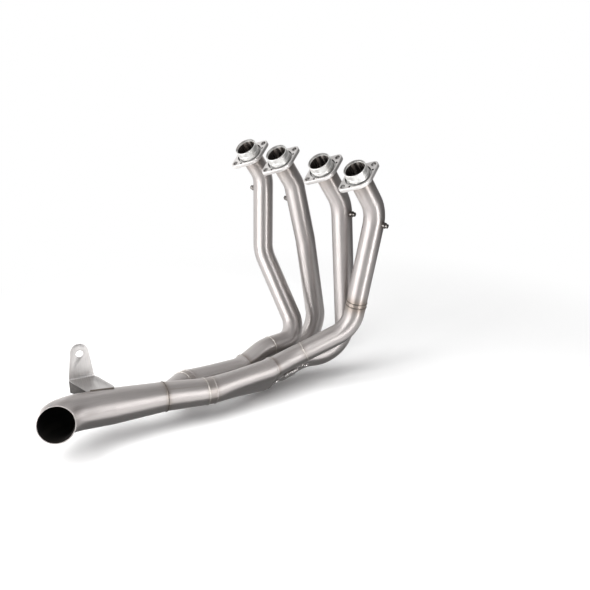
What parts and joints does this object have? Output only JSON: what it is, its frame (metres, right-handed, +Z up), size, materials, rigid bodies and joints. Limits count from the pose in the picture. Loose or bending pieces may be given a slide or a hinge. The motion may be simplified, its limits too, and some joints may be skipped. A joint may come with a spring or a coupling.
{
  "type": "motorcycle exhaust header",
  "caption": "Exhaust header for a transverse inline engine: flanged pipes merge in pairs, then into one tail pipe with an open bent outlet and a hanger bracket.",
  "frame": {"origin": "middle of the port row, on the plane where the flanges meet the cylinder head", "axes": "+X along the port row towards cylinder 4, +Y to the front of the motorcycle, +Z up"},
  "size_m": [0.3262, 0.6736, 0.4537],
  "materials": {
    "tube_steel": "satin, brushed along the pipes",
    "machined_steel": "fine turned and milled",
    "weld_steel": "bright weld bead",
    "bracket_steel": "satin sheet",
    "spring_steel": "bright wire",
    "plug_steel": "dark turned"
  },
  "bodies": {
    "root": {"bracket_gusset": "bracket_steel", "bracket_weld": "bracket_steel", "final_collector": "tube_steel", "head_flange_1": "machined_steel", "head_flange_2": "machined_steel", "head_flange_3": "machined_steel", "head_flange_4": "machined_steel", "merge_collector_left": "tube_steel", "merge_collector_right": "tube_steel", "mouth_plate_left": "tube_steel", "mouth_plate_right": "tube_steel", "pipe_hook_a": "spring_steel", "pipe_hook_b": "spring_steel", "port_collar_1": "machined_steel", "port_collar_2": "machined_steel", "port_collar_3": "machined_steel", "port_collar_4": "machined_steel", "primary_1_lower": "tube_steel", "primary_1_upper": "tube_steel", "primary_2": "tube_steel", "primary_3": "tube_steel", "primary_4_lower": "tube_steel", "primary_4_middle": "tube_steel", "primary_4_upper": "tube_steel", "secondary_pipe_left": "tube_steel", "secondary_pipe_right": "tube_steel", "slip_joint_socket": "tube_steel", "slip_spring_a": "spring_steel", "slip_spring_b": "spring_steel", "socket_hook_a": "spring_steel", "socket_hook_b": "spring_steel", "tail_bracket": "bracket_steel", "tail_cone": "tube_steel", "tail_elbow": "tube_steel", "test_port_boss_1": "plug_steel", "test_port_boss_2": "plug_steel", "test_port_boss_3": "plug_steel", "test_port_boss_4": "plug_steel", "test_port_plug_1": "plug_steel", "test_port_plug_2": "plug_steel", "test_port_plug_3": "plug_steel", "test_port_plug_4": "plug_steel", "weld_1": "weld_steel", "weld_4_lower": "weld_steel", "weld_4_upper_a": "weld_steel", "weld_4_upper_b": "weld_steel", "weld_final": "weld_steel", "weld_left_front": "weld_steel", "weld_left_rear": "weld_steel", "weld_right_front": "weld_steel", "weld_right_rear": "weld_steel"}
  },
  "joints": []
}
